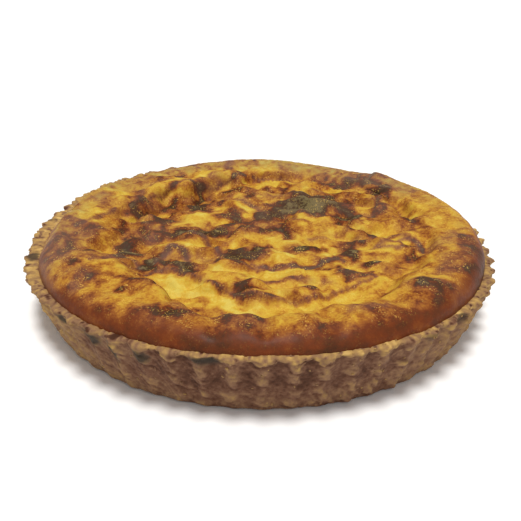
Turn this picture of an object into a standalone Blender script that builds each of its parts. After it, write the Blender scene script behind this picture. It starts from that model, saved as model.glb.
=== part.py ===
"""A round rice tart, out of its tin: a fluted pastry case and the baked rice custard that fills it.

The tart stands on its flat base, with the origin at the middle of that base, and +Z up. It is
round, so its front is only a choice: -Y, opposite the stretch where the rim rose in the oven.
"""

import bpy
import bmesh
from math import cos, exp, pi, radians, sin, sqrt

# Pastry case. A 24 cm fluted tin gives its outside: 24 cm across the rim, 22 cm across the base.
RIM_RADIUS = 0.1200         # centre line to the ridges' tips, at the rim
BASE_RADIUS = 0.1100        # the same at the base
RIM_HEIGHT = 0.0298         # mean height of the rim over the base
RIM_SAG = 0.0018            # the rim stands this much lower at the sides than at front and back
RIM_LIFT = 0.0030           # extra height where the rim rose in the oven, at the back left
LIFT_ANGLE = radians(145)
LIFT_SPREAD = radians(35)
FLUTES = 60
FLUTE_TURN = radians(0.7)   # the first ridge stands this far round from +X
RIM_FLUTE_DEPTH = 0.0026
BASE_FLUTE_DEPTH = 0.0012
RIDGE_ROUNDING = 0.22       # 0 leaves the ridges knife-sharp
SEAM_RADIUS = 0.1147        # inner edge of the rim, where the custard starts
FLOOR_RADIUS = 0.1038       # inner radius down at the floor
FLOOR_THICKNESS = 0.0040
EDGE_ROUNDING = 0.0015      # the rim's and the base's edges are worn round by this much

# Rice filling. It follows the case inside, and swells over the rim in a ring.
GAP = 0.0003                # keeps the two solids apart
CREST_RADIUS = 0.1040       # where the swollen ring is highest
CREST_HEIGHT = 0.0082       # over the mean rim
TROUGH_RADIUS = 0.0840      # the ring's inner foot
TROUGH_SHIFT = 0.0040       # the trough lies this much nearer the edge in front than at the back
TROUGH_HEIGHT = 0.0010
MIDDLE_HEIGHT = 0.0030      # the wrinkled middle, between the trough and the middle rise
MIDDLE_SLOPE = 0.0260       # width over which the middle rises from the trough
SHOULDER_POWER = 2.2        # above 2 the ring's outer shoulder is squarer than an ellipse

# Blisters, folds and hollows of the skin: x, y, half length, half width, turn in degrees, height.
SWELLINGS = (
    (-0.025, 0.102, 0.020, 0.011, 15, 0.0012),
    (0.073, 0.078, 0.016, 0.010, -45, 0.0022),
    (0.048, 0.093, 0.012, 0.009, -30, -0.0018),
    (-0.056, 0.090, 0.018, 0.010, 32, -0.0012),
    (0.070, -0.056, 0.020, 0.014, 35, 0.0040),
    (0.052, 0.062, 0.024, 0.007, -40, 0.0028),
    (0.047, 0.017, 0.010, 0.008, 30, -0.0030),
    (0.026, 0.038, 0.024, 0.016, -20, 0.0022),
    (-0.010, 0.018, 0.026, 0.012, 8, 0.0018),
    (-0.052, 0.004, 0.018, 0.010, 20, 0.0020),
    (-0.046, 0.032, 0.015, 0.009, 40, -0.0018),
    (0.010, -0.030, 0.034, 0.008, 6, 0.0018),
    (-0.010, -0.072, 0.040, 0.009, -8, -0.0010),
    (0.066, 0.006, 0.007, 0.022, -14, 0.0022),
)

CASE_SIDES = 6 * FLUTES
FILLING_SIDES = 120
FLAT_RINGS = 12
SHOULDER_RINGS = 3


def clear_scene():
    for thing in list(bpy.data.objects):
        bpy.data.objects.remove(thing, do_unlink=True)


def between(low, high, share):
    """The value a share of the way from low to high."""
    return low + (high - low) * share


def smooth_step(share):
    """0 below 0, 1 above 1, and half a cosine wave in between."""
    share = min(max(share, 0.0), 1.0)
    return 0.5 - 0.5 * cos(pi * share)


def rim_level(angle):
    """Height of the rim, with the slight sag and the lift of the real one."""
    off = (angle - LIFT_ANGLE + pi) % (2 * pi) - pi
    return RIM_HEIGHT - RIM_SAG * cos(2 * angle) + RIM_LIFT * exp(-(off / LIFT_SPREAD) ** 2)


def ridge(angle):
    """1 on a flute's ridge and 0 in the valley: a folded sine, with the fold rounded off."""
    wave = sin(FLUTES * (angle - FLUTE_TURN) / 2)
    top = sqrt(1 + RIDGE_ROUNDING ** 2)
    return (top - sqrt(wave ** 2 + RIDGE_ROUNDING ** 2)) / (top - RIDGE_ROUNDING)


def outside(angle, share):
    """Outer radius of the case at a share of the way up its leaning, fluted wall."""
    depth = between(BASE_FLUTE_DEPTH, RIM_FLUTE_DEPTH, share)
    return between(BASE_RADIUS, RIM_RADIUS, share) - depth * (1 - ridge(angle))


def swelling(x, y):
    """Height that the blisters and folds add at a place: one soft oval mound for each."""
    total = 0.0
    for middle_x, middle_y, length, width, turn, height in SWELLINGS:
        along = (x - middle_x) * cos(radians(turn)) + (y - middle_y) * sin(radians(turn))
        across = (y - middle_y) * cos(radians(turn)) - (x - middle_x) * sin(radians(turn))
        total += height * exp(-(along / length) ** 2 - (across / width) ** 2)
    return total


def skin_height(radius, angle):
    """Height of the custard's skin inside the crest: ring, trough and middle, with the swellings."""
    trough = TROUGH_RADIUS - TROUGH_SHIFT * sin(angle)
    ring = smooth_step((radius - trough) / (CREST_RADIUS - trough))
    middle = smooth_step((trough - radius) / MIDDLE_SLOPE)
    height = TROUGH_HEIGHT + (CREST_HEIGHT - TROUGH_HEIGHT) * ring
    height += (MIDDLE_HEIGHT - TROUGH_HEIGHT) * middle
    return RIM_HEIGHT + height + swelling(radius * cos(angle), radius * sin(angle))


def add_ring(mesh, sides, radius_at, height_at):
    """One closed loop of vertices from the first ridge round, worked out at each angle."""
    loop = []
    for step in range(sides):
        angle = FLUTE_TURN + 2 * pi * step / sides
        radius = radius_at(angle)
        loop.append(mesh.verts.new((radius * cos(angle), radius * sin(angle), height_at(angle))))
    return loop


def bridge(mesh, lower, upper):
    """Faces between two loops that face away from the middle where lower lies below upper."""
    count = len(lower)
    for step in range(count):
        after = (step + 1) % count
        mesh.faces.new((lower[step], lower[after], upper[after], upper[step]))


def close_loop(mesh, loop, height, upward):
    """A fan from a middle vertex to a loop."""
    middle = mesh.verts.new((0, 0, height))
    count = len(loop)
    for step in range(count):
        pair = (loop[step], loop[(step + 1) % count])
        if not upward:
            pair = pair[::-1]
        mesh.faces.new((middle, *pair))


def make_material(name, colour, roughness):
    material = bpy.data.materials.new(name)
    material.use_nodes = True
    shader = material.node_tree.nodes["Principled BSDF"]
    shader.inputs["Base Color"].default_value = (*colour, 1)
    shader.inputs["Roughness"].default_value = roughness
    shader.inputs["Metallic"].default_value = 0.0
    return material


def make_object(name, mesh, material, sharp_angle):
    data = bpy.data.meshes.new(name)
    mesh.to_mesh(data)
    mesh.free()
    data.materials.append(material)
    data.shade_smooth()
    data.set_sharp_from_angle(angle=sharp_angle)
    thing = bpy.data.objects.new(name, data)
    bpy.context.scene.collection.objects.link(thing)
    return thing


def make_pastry_case():
    """A dish of pastry: flat floor, leaning fluted wall, and a thick uneven rim."""
    mesh = bmesh.new()
    base_share = EDGE_ROUNDING / RIM_HEIGHT
    rings = (
        (lambda a: outside(a, 0) - EDGE_ROUNDING, lambda a: 0.0),
        (lambda a: outside(a, base_share), lambda a: EDGE_ROUNDING),
        (lambda a: outside(a, 1), lambda a: rim_level(a) - EDGE_ROUNDING),
        (lambda a: outside(a, 1) - EDGE_ROUNDING / 2, rim_level),
        (lambda a: SEAM_RADIUS + EDGE_ROUNDING / 2, rim_level),
        (lambda a: SEAM_RADIUS, lambda a: rim_level(a) - EDGE_ROUNDING),
        (lambda a: FLOOR_RADIUS, lambda a: FLOOR_THICKNESS),
    )
    loops = [add_ring(mesh, CASE_SIDES, radius_at, height_at) for radius_at, height_at in rings]
    close_loop(mesh, loops[0], 0.0, upward=False)
    for lower, upper in zip(loops, loops[1:]):
        bridge(mesh, lower, upper)
    close_loop(mesh, loops[-1], FLOOR_THICKNESS, upward=True)
    pastry = make_material("baked_pastry", (0.30, 0.17, 0.09), 0.75)
    return make_object("pastry_case", mesh, pastry, radians(50))


def make_rice_filling():
    """The custard, one solid from the case's floor to its swollen, wrinkled skin."""
    mesh = bmesh.new()
    wall = SEAM_RADIUS - GAP

    def seam_height(angle):
        return rim_level(angle) - EDGE_ROUNDING

    loops = [
        add_ring(mesh, FILLING_SIDES, lambda a: FLOOR_RADIUS - GAP, lambda a: FLOOR_THICKNESS + GAP),
        add_ring(mesh, FILLING_SIDES, lambda a: wall, seam_height),
    ]
    for step in range(1, SHOULDER_RINGS + 1):
        # The shoulder is a quarter of a squared-off ellipse, from the seam up to the crest.
        turn = pi / 2 * step / (SHOULDER_RINGS + 1)
        inward = 1 - cos(turn) ** (2 / SHOULDER_POWER)
        rise = sin(turn) ** (2 / SHOULDER_POWER)
        loops.append(add_ring(
            mesh,
            FILLING_SIDES,
            lambda a, inward=inward: between(wall, CREST_RADIUS, inward),
            lambda a, rise=rise: between(seam_height(a), skin_height(CREST_RADIUS, a), rise),
        ))
    for step in range(FLAT_RINGS, 0, -1):
        radius = CREST_RADIUS * step / FLAT_RINGS
        loops.append(add_ring(
            mesh,
            FILLING_SIDES,
            lambda a, radius=radius: radius,
            lambda a, radius=radius: skin_height(radius, a),
        ))
    close_loop(mesh, loops[0], FLOOR_THICKNESS + GAP, upward=False)
    for lower, upper in zip(loops, loops[1:]):
        bridge(mesh, lower, upper)
    close_loop(mesh, loops[-1], skin_height(0, 0), upward=True)
    custard = make_material("baked_custard", (0.55, 0.30, 0.07), 0.4)
    return make_object("rice_filling", mesh, custard, radians(60))


clear_scene()
make_pastry_case()
make_rice_filling()
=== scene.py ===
"""The looks of a round rice tart, out of its tin: a fluted shortcrust case, the baked rice custard
in it with its blistered and scorched skin, and the flakes of pastry that cling to the case.
Sizes in the sections are in millimetres unless a name or comment says otherwise."""

import bpy
import numpy as np
from mathutils import Matrix, Vector


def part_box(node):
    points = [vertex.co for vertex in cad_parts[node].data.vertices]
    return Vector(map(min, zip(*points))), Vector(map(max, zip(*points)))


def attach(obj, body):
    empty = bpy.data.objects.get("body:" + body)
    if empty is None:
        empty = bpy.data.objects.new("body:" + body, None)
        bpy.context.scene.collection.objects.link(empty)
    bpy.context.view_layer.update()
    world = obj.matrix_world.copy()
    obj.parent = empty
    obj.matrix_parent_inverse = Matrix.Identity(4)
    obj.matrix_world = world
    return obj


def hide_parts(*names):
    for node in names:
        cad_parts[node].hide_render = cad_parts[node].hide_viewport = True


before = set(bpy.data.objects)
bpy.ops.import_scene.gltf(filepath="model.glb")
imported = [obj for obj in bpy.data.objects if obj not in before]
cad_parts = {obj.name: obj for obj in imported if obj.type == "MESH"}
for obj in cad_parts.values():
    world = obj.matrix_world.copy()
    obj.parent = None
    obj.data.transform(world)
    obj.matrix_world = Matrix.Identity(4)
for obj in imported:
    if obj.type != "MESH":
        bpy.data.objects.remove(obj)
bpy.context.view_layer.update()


# ---- Pastry case -----------------------------------------------------------------------------
# The case is one piece of shortcrust, pressed into a fluted tin and baked until brown. Its ridges
# keep lumps and torn lips of dough under the rim, and the floor is flat. It holds the filling.

MM = 0.001
case_high = np.array(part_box("pastry_case")[1]) / MM
RIM_RADIUS = case_high[0]
BASE_RADIUS = RIM_RADIUS - 10.0
RIM_LIFT, LIFT_ANGLE, LIFT_SPREAD = 3.0, np.radians(145), np.radians(35)
RIM_SAG = 1.8
RIM_HEIGHT = case_high[2] - 2.8
FLUTES, FLUTE_TURN = 60, np.radians(0.7)
RIM_FLUTE, BASE_FLUTE, RIDGE_ROUNDING = 2.5, 1.1, 0.30
SEAM_RADIUS, SLID_BACK = RIM_RADIUS - 5.3, 2.6
SLID_ANGLE, SLID_SPREAD = np.radians(162), np.radians(36)
FLOOR_RADIUS, FLOOR_THICKNESS = 103.8, 4.0
RIM_ARCH, EDGE_ROUNDING = 1.2, 1.0       # how far the rim stands up, and the base's rounded edge
WALL_ROUND, LIP_ROUND = 115, 118         # radii that turn an angle into mm round the wall or lip
CASE_COLUMNS = 22 * FLUTES
BASE_TONE = 0.7


def smooth(value, low, high):
    """0 below low and 1 above high, with an S-curve between: 3 t squared minus 2 t cubed."""
    share = np.clip((value - low) / (high - low), 0.0, 1.0)
    return share * share * (3 - 2 * share)


def noise(across, along, size, seed):
    """Soft clouds from 0 to 1: random values on a square lattice, size apart, joined by S-curves."""
    count = 256
    lattice = np.random.default_rng(seed).random((count, count))
    column, row = np.floor(across / size).astype(int), np.floor(along / size).astype(int)
    right, up = smooth(across / size - column, 0, 1), smooth(along / size - row, 0, 1)
    left_edge, right_edge = column % count, (column + 1) % count
    lower, upper = ((lattice[left_edge, side] * (1 - right) + lattice[right_edge, side] * right)
                    for side in (row % count, (row + 1) % count))
    return lower * (1 - up) + upper * up


def uneven(across, along, size, seed):
    """The same soft clouds, centred: from -0.5 to 0.5."""
    return noise(across, along, size, seed) - 0.5


def bell(off, width, power=2):
    """1 where off is 0 and near 0 past the width: e to the minus (off over width) to the power."""
    return np.exp(-np.abs(off / width) ** power)


def turned_from(angle, middle):
    """Angle from the middle one, the short way round: from minus half a turn to half a turn."""
    return (angle - middle + np.pi) % (2 * np.pi) - np.pi


def rim_level(angle):
    """Height of the rim: a slight wave twice round, and one soft rise at the back left."""
    rise = RIM_LIFT * bell(turned_from(angle, LIFT_ANGLE), LIFT_SPREAD)
    return RIM_HEIGHT - RIM_SAG * np.cos(2 * angle) + rise


def ridge_share(angle):
    """1 on a flute's ridge and 0 in its valley: a folded sine, with the fold rounded off."""
    wave = np.sin(FLUTES * (angle - FLUTE_TURN) / 2)
    top = np.hypot(1, RIDGE_ROUNDING)
    return (top - np.hypot(wave, RIDGE_ROUNDING)) / (top - RIDGE_ROUNDING)


def slid_share(angle):
    """1 at the back left, where the filling slid off the rim and leaves more of it bare, to 0."""
    return bell(turned_from(angle, SLID_ANGLE), SLID_SPREAD, 4)


def piece_from_grid(name, points, faces, material, marks):
    """A smooth-shaded piece from whole arrays, with one number a point for each named mark."""
    mesh = bpy.data.meshes.new(name)
    mesh.from_pydata((points * MM).tolist(), [], faces)
    mesh.update()
    for mark, values in marks.items():
        mesh.attributes.new(mark, "FLOAT", "POINT").data.foreach_set(
            "value", values.astype(np.float32).ravel())
    mesh.materials.append(material)
    mesh.shade_smooth()
    piece = bpy.data.objects.new(name, mesh)
    bpy.context.scene.collection.objects.link(piece)
    return piece


def crispness(angle):
    """1 where the flutes are sharp, all round but at the left, and 0.36 where they are smeared."""
    sharp = smooth(np.cos(angle + np.radians(45)), -0.4, 0.45)
    return 0.36 + 0.64 * np.maximum(sharp, smooth(np.cos(angle - np.radians(75)), 0.4, 0.9))


def case_profile():
    """The case's rows from the base's middle out, up the wall, over the rim and down inside to the
    floor, each as its part and the share along that part. They lie closer near the rim."""
    rows = [("base", share) for share in (0.3, 0.7, 0.92)]
    rows += [("wall", 1 - (1 - share) ** 1.25) for share in np.linspace(0, 1, 50)]
    rows += [("rim", share) for share in np.linspace(0, 1, 14)[1:]]
    rows += [("inside", share) for share in (0.06, 1.0)]
    return rows


def case_surface(part, share, angle):
    """A row of the case before its relief: its radius, its height, and its way along the profile,
    which is 0 at the base, 0 to 1 up the wall, 1 to 2 over the rim and 2 to 3 inside."""
    valley = (1 - ridge_share(angle)) * crispness(angle)
    valley *= 1 - 0.4 * smooth(-np.sin(angle), 0.7, 0.95)
    base, rim = BASE_RADIUS - BASE_FLUTE * valley, RIM_RADIUS - RIM_FLUTE * valley
    level, seam = rim_level(angle), SEAM_RADIUS - SLID_BACK * slid_share(angle)
    if part == "base":
        return (base - EDGE_ROUNDING) * share, 0 * angle, 0 * angle
    if part == "wall":
        # The base's edge is rounded, and the wall then leans out in a straight line.
        edge = np.sqrt(np.clip(share / 0.05, 0, 1))
        lean = (RIM_RADIUS - BASE_RADIUS) * share
        lean -= (BASE_FLUTE + (RIM_FLUTE - BASE_FLUTE) * share ** 2) * valley
        radius = BASE_RADIUS + lean - EDGE_ROUNDING * (1 - edge)
        return radius, (level - RIM_ARCH) * share, share + 0 * angle
    if part == "rim":
        # The rim is a low arch from the outside over to the seam.
        turn = np.pi * share
        radius = rim + (seam - rim) * (0.5 - 0.5 * np.cos(turn))
        return radius, level - RIM_ARCH + RIM_ARCH * np.sin(turn) ** 0.6, 1 + share + 0 * angle
    radius = seam + (FLOOR_RADIUS - seam) * share
    height = (level - RIM_ARCH) * (1 - share) + FLOOR_THICKNESS * share
    return radius, height, 2 + share + 0 * angle


def lumps(angle, height):
    """Lumps of dough left on the ridges: soft domes, four to a ridge, at uneven heights."""
    draw = np.random.default_rng(41)
    total = np.zeros_like(angle)
    for flute in range(FLUTES):
        for place in (0.78, 0.60, 0.40, 0.17):
            middle = FLUTE_TURN + 2 * np.pi * flute / FLUTES + draw.normal(0, 0.014)
            level = RIM_HEIGHT * (place + draw.normal(0, 0.08))
            wide, tall = draw.uniform(1.4, 3.2), draw.uniform(1.6, 3.6)
            size = draw.uniform(0.2, 1.0)
            off = turned_from(angle, middle) * WALL_ROUND
            near = np.abs(off) < 3 * wide
            off, rise = off[near], height[near] - level
            lean = off + 0.3 * rise + 1.6 * uneven(off, height[near], 2.0, flute)
            dome = bell(lean, wide, 6) * bell(rise + 0.3 * lean, tall, 6)
            total[near] = np.maximum(total[near], size * dome)
    return total


def lip_hang(angle):
    """How far the torn lip hangs below the rim: 0.4 mm, and a tooth of its own depth and width on
    each ridge, with a flat end and steep sides."""
    draw = np.random.default_rng(43)
    hang = 0.4 + 0 * angle
    for flute in range(FLUTES):
        middle = FLUTE_TURN + 2 * np.pi * flute / FLUTES + draw.normal(0, 0.012)
        depth, half = 3.6 * draw.uniform(0, 1) ** 0.7, draw.uniform(1.3, 3.0)
        hang = hang + depth * bell(turned_from(angle, middle) * LIP_ROUND, half, 2.6)
    return hang


angles = np.linspace(0, 2 * np.pi, CASE_COLUMNS, endpoint=False)
rows = [case_surface(part, share, angles) for part, share in case_profile()]
radius = np.array([row[0] for row in rows])
height = np.array([row[1] for row in rows])
way = np.array([row[2] for row in rows])
angle = np.broadcast_to(angles, radius.shape)
ridge = ridge_share(angle)
round_way = angle * WALL_ROUND
up_wall = np.where(way < 1, way, 1.0)

# The torn lip under the rim hangs lowest on the ridges and leaves a smooth arch over each valley.
crisp = crispness(angle)
front = bell(angle - np.radians(270), np.radians(42))
ragged = uneven(round_way, height, 1.1, 11)
below_rim = (1 - up_wall) * RIM_HEIGHT
lip_edge = 0.4 + lip_hang(angle) * crisp + 1.8 * ragged
lip_edge += 1.6 * uneven(round_way, 0 * height, 2.3, 12)
lip = smooth(lip_edge - below_rim, -0.25, 0.35) * (way <= 2)
# A painted shadow in a band just under the lip's edge.
painted_lip_shadow = bell(below_rim - lip_edge - 0.7, 0.7) * (way < 1)
# The wall's other relief: lumps, crumb, flakes that lie along it, and valleys pressed smooth.
dough_lumps = lumps(angle, height) * (way < 1) * (0.35 + 0.65 * ridge)
crumb = noise(round_way, height, 0.9, 13) + 0.6 * noise(round_way, height, 2.1, 14)
flaky = 1 - np.abs(2 * noise(round_way + 0.7 * height, 0.35 * height, 2.6, 15) - 1)
cloud = noise(round_way, height, 14.0, 16)
thumbed = (1 - ridge) * smooth(up_wall, 0.35, 0.8) * crisp
relief = 0.75 * lip * (0.7 + 0.6 * noise(round_way, height, 1.6, 23))
relief += 1.1 * (0.2 + 0.8 * crisp) * dough_lumps
relief += 0.5 * (crumb - 0.8) * (1 - 0.6 * thumbed) - 0.5 * thumbed
relief += 0.55 * (flaky ** 4) * (way < 1) * (0.3 + 0.7 * cloud)
relief += 1.1 * uneven(round_way, height, 6.0, 17)
relief += 1.6 * (1 - crisp) * uneven(round_way, 0.5 * height, 3.0, 26)
# Where the flutes are smeared, the top of the wall is torn and rough.
torn = (1 - crisp) * (0.4 + 0.6 * smooth(-np.cos(angle), 0.75, 0.95))
relief += 3.0 * torn * smooth(up_wall, 0.84, 1.0) * (noise(round_way, 0.3 * height, 1.6, 28) - 0.45)
relief *= smooth(up_wall, 0.0, 0.05)
over_rim = (way > 1) & (way <= 2)
rim_crumb = 0.5 * uneven(round_way, radius, 1.1, 18) + 0.9 * uneven(round_way, radius, 3.2, 19)
rim_crumb *= (1 - 0.7 * front) * np.sin(np.pi * np.clip(way - 1, 0, 1))
outward = np.where(way < 1, 1.0, np.clip(2 - way, 0, 1))
radius = radius + relief * outward * (way > 0)
height = height + np.where(over_rim, 0.5 * relief + rim_crumb, 0.15 * relief)
height = np.maximum(height, 0.0)

points = np.stack([radius * np.cos(angle), radius * np.sin(angle), height], -1).reshape(-1, 3)
row_count = len(rows)
index = np.arange(row_count * CASE_COLUMNS).reshape(row_count, CASE_COLUMNS)
after = np.roll(index, -1, axis=1)
case_faces = np.stack([index[:-1], after[:-1], after[1:], index[1:]], -1).reshape(-1, 4).tolist()
points = np.vstack([points, [[0, 0, 0], [0, 0, FLOOR_THICKNESS]]])
bottom, floor_middle = row_count * CASE_COLUMNS, row_count * CASE_COLUMNS + 1
case_faces += [[bottom, int(b), int(a)] for a, b in zip(index[0], after[0])]
case_faces += [[floor_middle, int(a), int(b)] for a, b in zip(index[-1], after[-1])]

# How dark each place is: the torn lip and the ridges' lumps stay light and the valleys are darkest.
# The wall's front is painted darker as shade, and its left side lighter as painted light.
tone = 0.45 + front * (0.19 + 0.15 * bell(up_wall - 0.55, 0.25))
tone += 0.08 * (1 - ridge) * crisp + 0.10 * thumbed * front
tone -= 0.07 * smooth(-np.cos(angle), 0.5, 0.9)
tone += (0.36 + 0.12 * front + 0.20 * (1 - up_wall) - tone) * np.clip(1.3 * dough_lumps, 0, 1)
# A lump's lower edge is darkened as a painted shadow, and its upper edge lightened as a painted highlight.
lump_edge_shading = np.roll(dough_lumps, -2, axis=0) - dough_lumps
tone += 0.30 * np.clip(lump_edge_shading, 0, 1) - 0.14 * np.clip(-lump_edge_shading, 0, 1)
near_left = bell(angle - np.radians(228), np.radians(28))
lip_tone = 0.38 + 0.08 * front + 0.12 * near_left
lip_tone += 0.44 * uneven(round_way, height, 1.8, 24) + 0.2 * uneven(round_way, height, 5, 27)
# The lip has its own mottled tone, and a painted shadow darkens a band just under it.
tone += (lip_tone - tone) * lip * (0.55 + 0.45 * crisp) + 0.10 * painted_lip_shadow * crisp
tone += 0.16 * (cloud - 0.5) - 0.16 * (crumb - 0.8) + 0.16 * uneven(round_way, height, 4.0, 21)
tone -= 0.22 * (flaky ** 8) * (0.3 + 0.7 * cloud)
# The rim is palest at the left, browner at the near left and along the seam, and speckled.
rim_tone = 0.48 - 0.06 * front + 0.10 * near_left - 0.14 * smooth(-np.cos(angle), 0.7, 0.97)
rim_tone += 0.10 * smooth(way, 1.8, 2.0) - 0.12 * smooth(way, 1.05, 1.5) * (1 - near_left)
rim_tone += 0.18 * uneven(round_way, 0.4 * radius, 1.8, 25) - 0.26 * (crumb - 0.8)
rim_tone += 0.30 * uneven(round_way, radius, 1.7, 29) + 0.25 * uneven(round_way, radius, 6.0, 20)
rim_tone += 0.40 * smooth(noise(round_way, radius, 2.3, 30), 0.66, 0.84)
tone = np.where(over_rim, rim_tone, tone)
tone = np.append(np.where(way <= 0, BASE_TONE, tone).ravel(), [BASE_TONE, BASE_TONE])

# Scorched spots on the rim and high on the wall: angle in degrees, way along the profile, half
# width in mm, half height along the profile, and depth of the scorch.
CASE_SCORCH = (
    (-166, 1.5, 6.0, 0.34, 0.85), (-135.5, 0.90, 3.2, 0.10, 0.9), (-126, 0.87, 6.0, 0.15, 0.95),
    (-120.5, 0.77, 3.2, 0.20, 0.9), (-113.5, 0.84, 4.2, 0.13, 0.9), (-100, 1.0, 6.5, 0.12, 0.95),
    (-53.5, 0.96, 2.6, 0.10, 0.5), (-43, 1.1, 2.8, 0.25, 0.7), (172, 1.4, 2.0, 0.5, 0.6),
)
scorch = np.zeros_like(radius)
for middle, share, wide, tall, depth in CASE_SCORCH:
    off = turned_from(angle, np.radians(middle)) * LIP_ROUND
    far = np.hypot((off + 2 * ragged) / wide, (way - share) / tall)
    scorch = np.maximum(scorch, depth * (1 - smooth(far, 0.5, 1.3)))
scorch = np.append(scorch.ravel(), [0, 0])


def plug(tree, value, socket):
    """Sets a socket to a value, or links it where the value is another socket."""
    if isinstance(value, bpy.types.NodeSocket):
        tree.links.new(value, socket)
    else:
        socket.default_value = value


def add_node(tree, kind, **settings):
    """A shader node with its settings, and its sockets set or linked by name."""
    node = tree.nodes.new("ShaderNode" + kind)
    for name, value in settings.items():
        if name in node.bl_rna.properties:
            setattr(node, name, value)
        else:
            plug(tree, value, node.inputs[name.replace("_", " ")])
    return node


def add_math(tree, operation, *values):
    """The result of a maths node on values or sockets."""
    node = add_node(tree, "Math", operation=operation)
    for socket, value in zip(node.inputs, values):
        plug(tree, value, socket)
    return node.outputs["Value"]


def add_cover(tree, share, under, over):
    """One colour laid over another by a share."""
    return add_node(tree, "Mix", data_type="RGBA", Factor=share, A=under, B=over).outputs["Result"]


def read_mark(tree, name):
    """The number that the mesh holds at each point under a mark's name."""
    return add_node(tree, "Attribute", attribute_name=name).outputs["Fac"]


def colour(red, green, blue):
    """A colour of 0 to 255 levels as the linear values that shaders use."""
    levels = np.array([red, green, blue]) / 255
    linear = np.where(levels <= 0.04045, levels / 12.92, ((levels + 0.055) / 1.055) ** 2.4)
    return (*linear.tolist(), 1.0)


def add_ramp(tree, value, stops):
    """The colour at a value on a ramp, whose stops are a place and then red, green and blue."""
    node = add_node(tree, "ValToRGB", Fac=value)
    marks = node.color_ramp.elements
    while len(marks) > 1:
        marks.remove(marks[-1])
    marks[0].position, marks[0].color = stops[0][0], colour(*stops[0][1:])
    for place, *tint in stops[1:]:
        marks.new(place).color = colour(*tint)
    return node.outputs["Color"]


def make_baked_grain():
    """Shared grain of baked dough and skin on object coordinates. Speckle is fine clouds from -0.5
    to 0.5. Bumps is a height: finer clouds less the distance to the nearest of scattered points."""
    group = bpy.data.node_groups.new("baked_grain", "ShaderNodeTree")
    for name, side in (("Speckle Size", "INPUT"), ("Bump Size", "INPUT"),
                       ("Speckle", "OUTPUT"), ("Bumps", "OUTPUT")):
        group.interface.new_socket(name, in_out=side, socket_type="NodeSocketFloat")
    entry, leave = group.nodes.new("NodeGroupInput"), group.nodes.new("NodeGroupOutput")
    place = add_node(group, "TexCoord").outputs["Object"]
    speckle_size, bump_size = entry.outputs["Speckle Size"], entry.outputs["Bump Size"]
    speckle = add_node(group, "TexNoise", Vector=place, Scale=speckle_size, Detail=3.0, Roughness=0.65)
    bumps = add_node(group, "TexVoronoi", Vector=place, Scale=bump_size, feature="SMOOTH_F1",
                     Smoothness=0.6)
    soft = add_node(group, "TexNoise", Vector=place, Scale=bump_size, Detail=4.0, Roughness=0.6)
    plug(group, add_math(group, "SUBTRACT", speckle.outputs["Fac"], 0.5), leave.inputs["Speckle"])
    plug(group, add_math(group, "SUBTRACT", soft.outputs["Fac"], bumps.outputs["Distance"]),
         leave.inputs["Bumps"])
    return group


def new_material(name, **finish):
    """A material with its shader's own sockets set by name: the material, its tree, its shader."""
    material = bpy.data.materials.new(name)
    material.use_nodes = True
    shader = material.node_tree.nodes["Principled BSDF"]
    for socket, value in finish.items():
        shader.inputs[socket.replace("_", " ")].default_value = value
    return material, material.node_tree, shader


baked_grain = make_baked_grain()


def make_pastry():
    """Baked shortcrust: matte, colour from the tone mark and its speckle, darkened by scorching."""
    material, tree, shader = new_material("baked_pastry", Roughness=0.72, Specular_IOR_Level=0.15)
    grain = add_node(tree, "Group", node_tree=baked_grain, Speckle_Size=420, Bump_Size=900)
    speckled = add_math(tree, "MULTIPLY_ADD", grain.outputs["Speckle"], 0.55, read_mark(tree, "tone"))
    crust = add_ramp(tree, speckled, (
        (0.0, 212, 176, 108), (0.2, 186, 148, 86), (0.4, 158, 122, 78), (0.56, 139, 104, 75),
        (0.7, 117, 81, 60), (0.84, 94, 60, 42), (1.0, 72, 42, 26),
    ))
    burnt = add_cover(tree, read_mark(tree, "scorch"), crust, colour(60, 51, 42))
    bump = add_node(tree, "Bump", Height=grain.outputs["Bumps"], Strength=0.35, Distance=0.0004)
    tree.links.new(burnt, shader.inputs["Base Color"])
    tree.links.new(bump.outputs["Normal"], shader.inputs["Normal"])
    return material


pastry = make_pastry()
case = piece_from_grid("fluted_case", points, case_faces, pastry, {"tone": tone, "scorch": scorch})
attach(case, "root")
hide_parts("pastry_case")


# ---- Pastry flakes ---------------------------------------------------------------------------
# Crumbs and thin flakes of the same shortcrust cling to the lip and the outside of the case.

FLAKE_COUNT = 220
FLAKE_HALF_SIZES = (0.45, 1.2), (0.35, 0.8), (0.18, 0.4)     # length, width and thickness
FLAKE_ROWS, UPPER_ROW = (6, 62), 44      # the case's rows that hold them, and the upper ones


def rounded_chip():
    """Twelve corners and twenty faces of a ball: a pole at each end, and two rings of five turned
    by half a step, at the heights that make all the faces alike."""
    high = 1 / np.sqrt(5)
    ring = np.arange(5) * 2 * np.pi / 5
    upper = np.stack([np.cos(ring), np.sin(ring), 0 * ring + 0.5], -1) * 2 * high
    ring = ring + np.pi / 5
    lower = np.stack([np.cos(ring), np.sin(ring), 0 * ring - 0.5], -1) * 2 * high
    faces = []
    for here in range(5):
        there = (here + 1) % 5
        faces += [[0, 2 + here, 2 + there], [2 + here, 7 + here, 2 + there],
                  [7 + here, 7 + there, 2 + there], [1, 7 + there, 7 + here]]
    return np.vstack([[[0, 0, 1], [0, 0, -1]], upper, lower]), np.array(faces)


draw = np.random.default_rng(77)
chip_points, chip_faces = rounded_chip()
corners = len(chip_points)
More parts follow.
